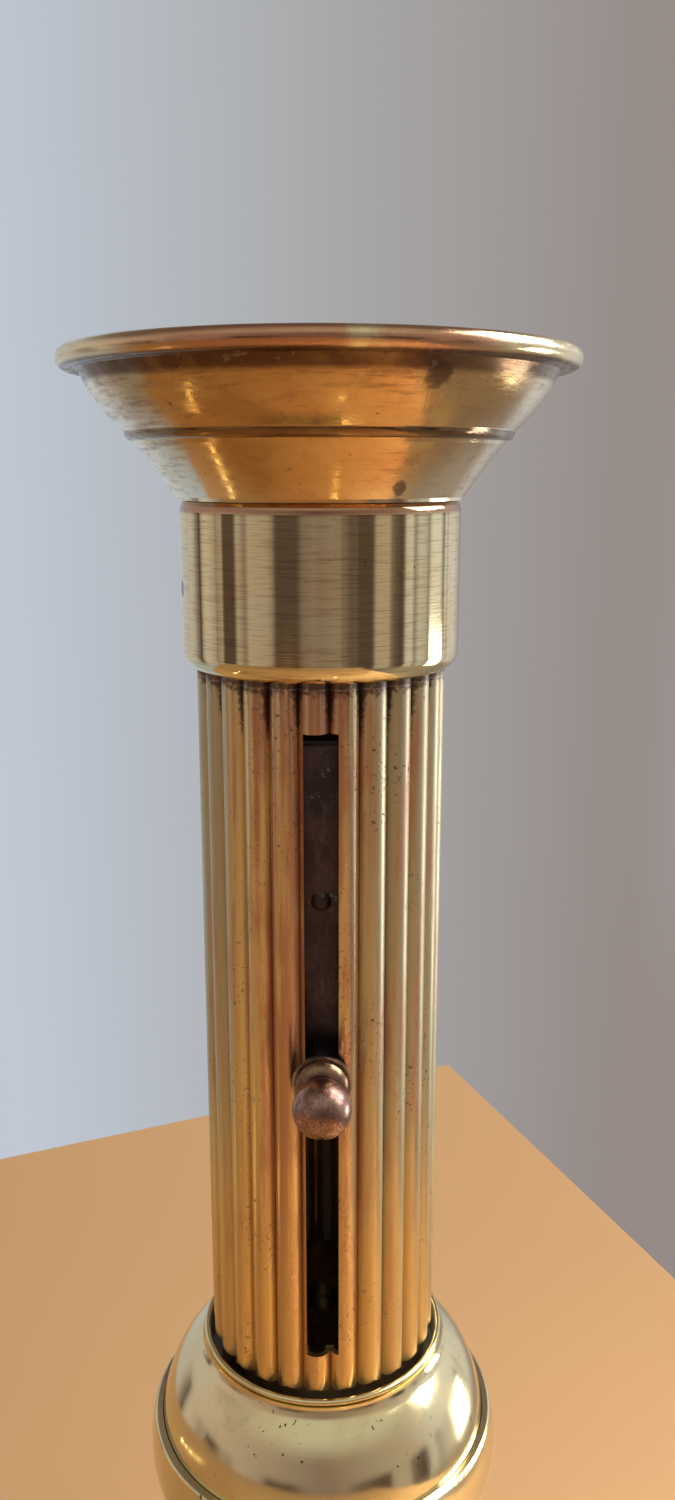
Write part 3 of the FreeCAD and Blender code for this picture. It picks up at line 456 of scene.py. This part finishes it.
def brushed_brass():
    """The collar: satin brass brushed round and round, with a few pits, one nick and a painted
    reflection at its shoulder.
    """
    skin = Material("brushed_brass_aged_with_painted_reflection")
    brushing = skin.noise(0.24 * MM, detail=4.0, place=skin.stretched(0.06, 1.0))
    wide = skin.noise(1.8 * MM, detail=3.0, place=skin.stretched(0.08, 1.0))
    clouds = skin.noise(8 * MM, detail=5.0)
    colour = skin.blend(skin.ramp(clouds, 0.35, 0.7), GREEN_BRASS, BRASS)
    colour = skin.blend(skin.ramp(wide, 0.55, 0.8, 0.0, 0.25), colour, BROWN_TARNISH)
    pits = skin.ramp(skin.cells(1.3 * MM), 0.05, 0.11, 1.0, 0.0)
    pits = skin.math("MULTIPLY", pits, skin.ramp(clouds, 0.5, 0.6))
    colour = skin.blend(pits, colour, BLACK_GRIME)
    colour = skin.blend(skin.ramp(brushing, 0.45, 0.70, 0.0, 0.36), colour, BROWN_TARNISH)
    # The shoulder at the collar's top is red-brown: a painted reflection of the cup's amber
    # underside.
    shoulder = skin.ramp(
        skin.parts["Z"], COLLAR_TOP - 1.6 * MM, COLLAR_TOP - 0.9 * MM, 0.0, 0.8
    )
    colour = skin.blend(shoulder, colour, RED_SHOULDER_REFLECTION)
    nick = skin.nearness(NICK, NICK_REACH)
    colour = skin.blend(skin.ramp(nick, 0.2, 0.5), colour, BLACK_GRIME)
    rough = skin.math("MULTIPLY_ADD", brushing, 0.06, 0.05)
    relief = skin.bump(brushing, 0.006 * MM)
    relief = skin.bump(skin.math("SUBTRACT", 1.0, nick), 0.15 * MM, relief)
    skin.shader.inputs["Anisotropic"].default_value = 0.75
    skin.shader.inputs["Anisotropic Rotation"].default_value = 0.25
    tangent = skin.add("ShaderNodeTangent", {"direction_type": "RADIAL", "axis": "Z"})
    skin.feed(skin.shader.inputs["Tangent"], tangent.outputs["Tangent"])
    return skin.finish(colour, rough, relief)


def knob_bronze():
    """The knob: turned bronze, dark purplish brown with handling, freckled and worn."""
    skin = Material("knob_bronze")
    clouds = skin.noise(2.5 * MM, detail=6.0, roughness=0.65)
    freckles = skin.noise(0.28 * MM, detail=4.0, roughness=0.7)
    colour = skin.blend(skin.ramp(clouds, 0.35, 0.7), KNOB_LIGHT, KNOB_DARK)
    colour = skin.blend(skin.ramp(freckles, 0.45, 0.68, 0.0, 0.75), colour, KNOB_FRECKLES)
    rough = skin.math("MULTIPLY_ADD", freckles, 0.20, skin.ramp(clouds, 0.3, 0.8, 0.14, 0.26))
    relief = skin.bump(freckles, 0.012 * MM)
    return skin.finish(colour, rough, relief)


def washer_bronze():
    """The knob's washer: brown bronze whose outer edge is worn bright and grey."""
    skin = Material("washer_bronze")
    clouds = skin.noise(1.6 * MM, detail=6.0, roughness=0.65)
    rise = skin.math("SUBTRACT", skin.parts["Z"], KNOB_HEIGHT)
    off_stud = skin.length(skin.parts["X"], rise)
    edge = skin.ramp(off_stud, 3.45 * MM, 3.70 * MM)
    edge = skin.math("MULTIPLY", edge, skin.ramp(clouds, 0.3, 0.6, 0.9, 0.5))
    colour = skin.blend(skin.ramp(clouds, 0.35, 0.7), WASHER_LIGHT, WASHER_DARK)
    colour = skin.blend(edge, colour, WASHER_WORN)
    rough = skin.ramp(clouds, 0.3, 0.8, 0.20, 0.42)
    relief = skin.bump(clouds, 0.03 * MM)
    return skin.finish(colour, rough, relief)


def dark_spring():
    """The strip behind the slot: nearly black old spring brass with green flecks."""
    skin = Material("dark_spring")
    clouds = skin.noise(4 * MM, detail=6.0, roughness=0.7)
    scratches = skin.noise(0.5 * MM, detail=4.0, place=skin.stretched(1.0, 0.1))
    flecks = skin.noise(0.7 * MM, detail=3.0)
    patches = skin.noise(5 * MM, detail=2.0)
    colour = skin.blend(skin.ramp(clouds, 0.35, 0.75), SPRING_DARK, SPRING_LIGHT)
    colour = skin.blend(skin.ramp(scratches, 0.55, 0.75, 0.0, 0.4), colour, SPRING_SCRATCHES)
    green = skin.math("MULTIPLY", skin.ramp(flecks, 0.60, 0.66), skin.ramp(patches, 0.55, 0.65))
    colour = skin.blend(skin.math("MULTIPLY", green, 0.7), colour, SPRING_GREEN)
    rough = skin.ramp(clouds, 0.3, 0.8, 0.38, 0.62)
    relief = skin.bump(flecks, 0.05 * MM)
    relief = skin.bump(scratches, 0.02 * MM, relief)
    return skin.finish(colour, rough, relief)


def dull_metal(name, light, dark, size, rough_low, rough_high, metallic=1.0):
    """Unpolished metal of the inner parts, blotched with oxide."""
    skin = Material(name, metallic)
    clouds = skin.noise(size, detail=6.0, roughness=0.65)
    grain = skin.noise(0.3 * MM, detail=3.0)
    colour = skin.blend(skin.ramp(clouds, 0.35, 0.72), light, dark)
    rough = skin.ramp(clouds, 0.3, 0.8, rough_low, rough_high)
    relief = skin.bump(grain, 0.015 * MM)
    return skin.finish(colour, rough, relief)


def make_finishes():
    """Every finish, by the name of its slot in the record."""
    return {
        "polished_brass": polished_brass(),
        "gallery_brass": gallery_brass(),
        "brushed_brass": brushed_brass(),
        "reeded_brass": reeded_brass(),
        "inner_brass": dull_metal(
            "inner_brass", INNER_BRASS, INNER_TARNISH, 6 * MM, rough_low=0.32, rough_high=0.55
        ),
        "dark_spring": dark_spring(),
        "knob_bronze": knob_bronze(),
        "washer_bronze": washer_bronze(),
        "steel": dull_metal(
            "steel", STEEL_LIGHT, STEEL_DARK, 3 * MM, rough_low=0.30, rough_high=0.5
        ),
        "ballast_iron": dull_metal(
            "ballast_iron", IRON_LIGHT, IRON_DARK, 8 * MM, rough_low=0.6, rough_high=0.8,
            metallic=0.6,
        ),
    }


def dress_nodes():
    """Gives each node the finish of its slot in the record."""
    slot_of = {name: node.data.materials[0].name for name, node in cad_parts.items()}
    finishes = make_finishes()
    for name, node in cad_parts.items():
        node.material_slots[0].material = finishes[slot_of[name]]


def make_floor():
    """A plain pale table top whose corner lies behind the object."""
    right_edge = Vector((math.cos(FLOOR_TURN), math.sin(FLOOR_TURN), 0.0))
    left_edge = Vector((right_edge.y, -right_edge.x, 0.0))
    corner = Vector(FLOOR_CORNER)
    outline = [
        corner,
        corner + left_edge * FLOOR_LENGTH,
        corner + (left_edge + right_edge) * FLOOR_LENGTH,
        corner + right_edge * FLOOR_LENGTH,
    ]
    lower = [point - Vector((0.0, 0.0, FLOOR_THICKNESS)) for point in outline]
    sides = [(k, (k + 1) % 4, 4 + (k + 1) % 4, 4 + k) for k in range(4)]
    mesh = bpy.data.meshes.new("floor")
    mesh.from_pydata(outline + lower, [], [(3, 2, 1, 0), (4, 5, 6, 7)] + sides)
    floor = bpy.data.objects.new("floor", mesh)
    bpy.context.collection.objects.link(floor)
    skin = Material("pale_floor", metallic=0.0)
    shade = skin.noise(FLOOR_PATCHES, detail=2.0)
    mesh.materials.append(
        skin.finish(skin.blend(shade, FLOOR_LIGHT, FLOOR_DARK), FLOOR_ROUGHNESS)
    )


def area_light(name, place, target, size, power, colour, spread=math.pi):
    """A flat light at a place, turned to a target, that the camera doesn't see."""
    light = bpy.data.lights.new(name, "AREA")
    light.shape = "RECTANGLE"
    light.size, light.size_y = size
    light.energy = power
    light.spread = spread
    light.color = colour
    lamp = bpy.data.objects.new(name, light)
    bpy.context.collection.objects.link(lamp)
    lamp.location = place
    lamp.rotation_euler = (Vector(target) - Vector(place)).to_track_quat("-Z", "Y").to_euler()
    lamp.visible_camera = False
    return lamp


def make_windows():
    """A soft window high at the right, a patch of sun on the table, and a low window."""
    area_light(
        "right_window",
        place=(0.80, 0.20, 0.75),
        target=(0.0, 0.0, 0.10),
        size=(0.7, 0.7),
        power=13.0,
        colour=(1.0, 0.97, 0.93),
    )
    area_light(
        "sun_patch",
        place=(0.55, -0.20, 0.60),
        target=(0.16, -0.08, 0.0),
        size=(0.12, 0.12),
        power=0.16,
        colour=(1.0, 0.93, 0.80),
        spread=0.5,
    )
    area_light(
        "low_window",
        place=(0.95, 0.31, -0.12),
        target=(0.0, 0.0, 0.07),
        size=(0.34, 0.34),
        power=1.6,
        colour=(1.0, 0.98, 0.97),
    )


def make_glints():
    """Small pools of bright reflected light on the table, which sparkle in the brass."""
    first, last = (Vector((*end, GLINT_RISE)) for end in GLINT_TRAIL)
    places = [first.lerp(last, number / (GLINT_COUNT - 1)) for number in range(GLINT_COUNT)]
    places.append(Vector((*GLINT_FRONT, GLINT_RISE)))
    for number, place in enumerate(places):
        above = place + Vector((0.0, 0.0, 0.1))
        power = GLINT_POWER * (1 + number % 2)
        lamp = area_light(f"glint_{number}", place, above, GLINT_SIZE, power, GLINT_COLOUR)
        lamp.rotation_euler.z = GLINT_SWING * (1 if number % 2 else -1)


def wall_ramp(sky, share, walls):
    """The colours of the walls all round, by the share of a turn from the back."""
    ramp = sky.add("ShaderNodeValToRGB", Fac=share)
    stops = ramp.color_ramp.elements
    closed = walls + ((180, walls[0][1]),)
    while len(stops) < len(closed):
        stops.new(0.5)
    for stop, (degrees, colour) in zip(stops, closed):
        stop.position = (degrees + 180) / 360
        stop.color = (*colour, 1.0)
    return ramp.outputs["Color"]


def with_uprights(sky, angle, share, rise, walls):
    """The walls with the dark uprights on them, for every ray but the camera's own."""
    along = sky.math("MULTIPLY_ADD", share, UPRIGHTS_PER_TURN, UPRIGHT_START)
    noise = sky.add(
        "ShaderNodeTexNoise", {"noise_dimensions": "1D"}, W=along, Scale=1.0, Detail=3.0
    )
    between = sky.ramp(noise.outputs["Fac"], *UPRIGHT_EDGE)
    furnished = sky.blend(between, UPRIGHT_COLOUR, walls)
    behind = sky.ramp(sky.math("ABSOLUTE", angle), *UPRIGHT_LAST)
    furnished = sky.blend(behind, furnished, walls)
    furnished = sky.blend(sky.ramp(rise, *UPRIGHT_TOP), furnished, walls)
    direct = sky.add("ShaderNodeLightPath").outputs["Is Camera Ray"]
    return sky.blend(direct, furnished, walls)


def make_world():
    """A soft studio: plain walls that differ in tone round the object, and a ceiling."""
    world = bpy.data.worlds.new("studio")
    bpy.context.scene.world = world
    world.use_nodes = True
    sky = Nodes(world.node_tree)
    way = sky.add("ShaderNodeTexCoord").outputs["Generated"]
    parts = sky.add("ShaderNodeSeparateXYZ", Vector=way).outputs
    rise = parts["Z"]
    angle = sky.math("ARCTAN2", parts["X"], sky.math("MULTIPLY", parts["Y"], -1.0))
    share = sky.ramp(angle, -math.pi, math.pi, soft=False)
    walls = with_uprights(sky, angle, share, rise, wall_ramp(sky, share, WALLS))
    low_walls = wall_ramp(sky, share, LOW_WALLS)
    below = sky.blend(sky.ramp(rise, *LOW_WALLS_START), ROOM_FLOOR, low_walls)
    sides = sky.blend(sky.ramp(rise, *WALLS_START), below, walls)
    ceiling = sky.blend(sky.ramp(parts["Y"], *CEILING_MIDDLE), CEILING_FRONT, CEILING_BACK)
    room = sky.blend(sky.ramp(rise, *CEILING_START), sides, ceiling)
    sky.feed(sky.tree.nodes["Background"].inputs["Color"], room)


def make_camera():
    """The camera, which shows the upper part of the lantern from a little above."""
    data = bpy.data.cameras.new("camera")
    data.lens = CAMERA_LENS
    data.sensor_width = CAMERA_SENSOR
    data.clip_start = CAMERA_NEAR
    camera = bpy.data.objects.new("camera", data)
    bpy.context.collection.objects.link(camera)
    camera.location = CAMERA_PLACE
    camera.rotation_euler = (math.pi / 2 - CAMERA_PITCH, 0.0, -CAMERA_YAW)
    bpy.context.scene.camera = camera


dress_nodes()
make_camera()
make_world()
make_floor()
make_windows()
make_glints()
bpy.context.scene.view_settings.view_transform = "Standard"
